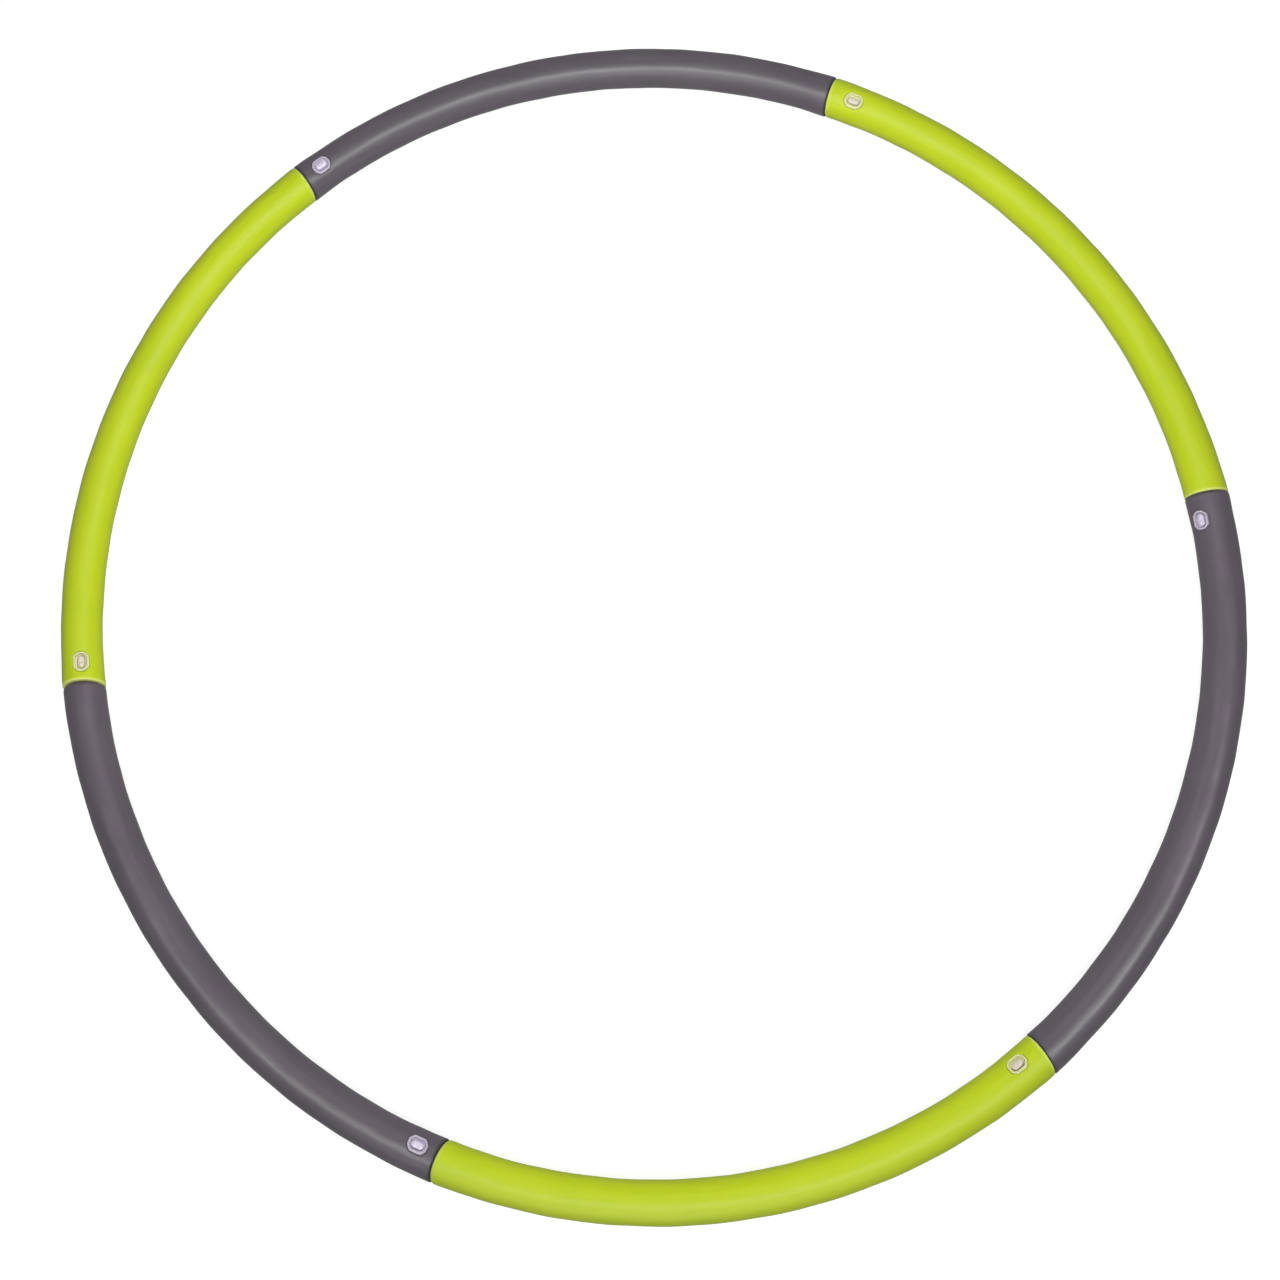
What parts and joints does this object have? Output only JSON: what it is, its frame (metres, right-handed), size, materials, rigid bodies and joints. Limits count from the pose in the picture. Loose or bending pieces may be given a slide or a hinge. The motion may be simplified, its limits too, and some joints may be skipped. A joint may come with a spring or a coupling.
{
  "type": "rhythmic hoop",
  "caption": "Large round exercise hoop: curved foam-covered tube sections in lime and dark grey that plug together, each locked by a sprung push button.",
  "frame": {"origin": "below the hoop's centre, at the level that the hoop rests on when it lies flat", "axes": "+Z is the hoop's axis, out of the side that the push buttons are nearest to; +X and +Y lie in the hoop's plane; the first section's plug end is 9.7 degrees from +X towards +Y, and the sections run anticlockwise seen from +Z"},
  "size_m": [0.9998, 0.9998, 0.0318],
  "materials": {
    "foam_lime": "closed-cell foam with a smooth satin skin, lime",
    "foam_grey": "closed-cell foam with a smooth satin skin, dark warm grey",
    "core_plastic": "extruded natural polyethylene",
    "plug_plastic": "moulded natural polypropylene",
    "bush_plastic": "moulded acetal",
    "bezel_plastic": "moulded milky polypropylene",
    "button_plastic": "moulded milky polypropylene",
    "spring_steel": "spring steel strip",
    "pin_steel": "plated steel pin"
  },
  "bodies": {
    "section_1": {"foam_sleeve_1": "foam_lime", "core_tube_1": "core_plastic", "plug_1": "plug_plastic", "plug_pin_1": "pin_steel", "mouth_bush_1": "bush_plastic", "latch_spring_1": "spring_steel", "button_bezel_1": "bezel_plastic"},
    "button_1": {"push_button_1": "button_plastic"},
    "section_2": {"foam_sleeve_2": "foam_grey", "core_tube_2": "core_plastic", "plug_2": "plug_plastic", "plug_pin_2": "pin_steel", "mouth_bush_2": "bush_plastic", "latch_spring_2": "spring_steel", "button_bezel_2": "bezel_plastic"},
    "button_2": {"push_button_2": "button_plastic"},
    "section_3": {"foam_sleeve_3": "foam_lime", "core_tube_3": "core_plastic", "plug_3": "plug_plastic", "plug_pin_3": "pin_steel", "mouth_bush_3": "bush_plastic", "latch_spring_3": "spring_steel", "button_bezel_3": "bezel_plastic"},
    "button_3": {"push_button_3": "button_plastic"},
    "section_4": {"foam_sleeve_4": "foam_grey", "core_tube_4": "core_plastic", "plug_4": "plug_plastic", "plug_pin_4": "pin_steel", "mouth_bush_4": "bush_plastic", "latch_spring_4": "spring_steel", "button_bezel_4": "bezel_plastic"},
    "button_4": {"push_button_4": "button_plastic"},
    "section_5": {"foam_sleeve_5": "foam_lime", "core_tube_5": "core_plastic", "plug_5": "plug_plastic", "plug_pin_5": "pin_steel", "mouth_bush_5": "bush_plastic", "latch_spring_5": "spring_steel", "button_bezel_5": "bezel_plastic"},
    "button_5": {"push_button_5": "button_plastic"},
    "section_6": {"foam_sleeve_6": "foam_grey", "core_tube_6": "core_plastic", "plug_6": "plug_plastic", "plug_pin_6": "pin_steel", "mouth_bush_6": "bush_plastic", "latch_spring_6": "spring_steel", "button_bezel_6": "bezel_plastic"},
    "button_6": {"push_button_6": "button_plastic"}
  },
  "joints": [
    {"name": "section_2_pull", "type": "slide", "parent": "section_1", "child": "section_2", "axis": [-0.9379, 0.3469, 0], "range_m": [0, 0.04]},
    {"name": "section_3_pull", "type": "slide", "parent": "section_2", "child": "section_3", "axis": [-0.7694, -0.6388, 0], "range_m": [0, 0.04]},
    {"name": "section_4_pull", "type": "slide", "parent": "section_3", "child": "section_4", "axis": [0.1685, -0.9857, 0], "range_m": [0, 0.04]},
    {"name": "section_5_pull", "type": "slide", "parent": "section_4", "child": "section_5", "axis": [0.9379, -0.3469, 0], "range_m": [0, 0.04]},
    {"name": "section_6_pull", "type": "slide", "parent": "section_5", "child": "section_6", "axis": [0.7694, 0.6388, 0], "range_m": [0, 0.04]},
    {"name": "button_1_press", "type": "slide", "parent": "section_1", "child": "button_1", "axis": [0.1636, 0.3897, -0.9063], "range_m": [0, 0.0024], "stiffness_N_per_m": 400, "springref_m": -0.001, "deforming": ["latch_spring_2"]},
    {"name": "button_2_press", "type": "slide", "parent": "section_2", "child": "button_2", "axis": [-0.1769, 0.2328, -0.9563], "range_m": [0, 0.0024], "stiffness_N_per_m": 400, "springref_m": -0.001, "deforming": ["latch_spring_3"]},
    {"name": "button_3_press", "type": "slide", "parent": "section_3", "child": "button_3", "axis": [-0.4193, -0.0532, -0.9063], "range_m": [0, 0.0024], "stiffness_N_per_m": 400, "springref_m": -0.001, "deforming": ["latch_spring_4"]},
    {"name": "button_4_press", "type": "slide", "parent": "section_4", "child": "button_4", "axis": [-0.2539, -0.6049, -0.7547], "range_m": [0, 0.0024], "stiffness_N_per_m": 400, "springref_m": -0.001, "deforming": ["latch_spring_5"]},
    {"name": "button_5_press", "type": "slide", "parent": "section_5", "child": "button_5", "axis": [0.4635, -0.6099, -0.6428], "range_m": [0, 0.0024], "stiffness_N_per_m": 400, "springref_m": -0.001, "deforming": ["latch_spring_6"]},
    {"name": "button_6_press", "type": "slide", "parent": "section_6", "child": "button_6", "axis": [0.9132, 0.1158, -0.3907], "range_m": [0, 0.0024], "stiffness_N_per_m": 400, "springref_m": -0.001, "deforming": ["latch_spring_1"]}
  ],
  "couplings": [
    {"joint": "section_3_pull", "follows": "section_2_pull", "ratio": 1},
    {"joint": "section_4_pull", "follows": "section_2_pull", "ratio": 1},
    {"joint": "section_5_pull", "follows": "section_2_pull", "ratio": 1},
    {"joint": "section_6_pull", "follows": "section_2_pull", "ratio": 1}
  ]
}
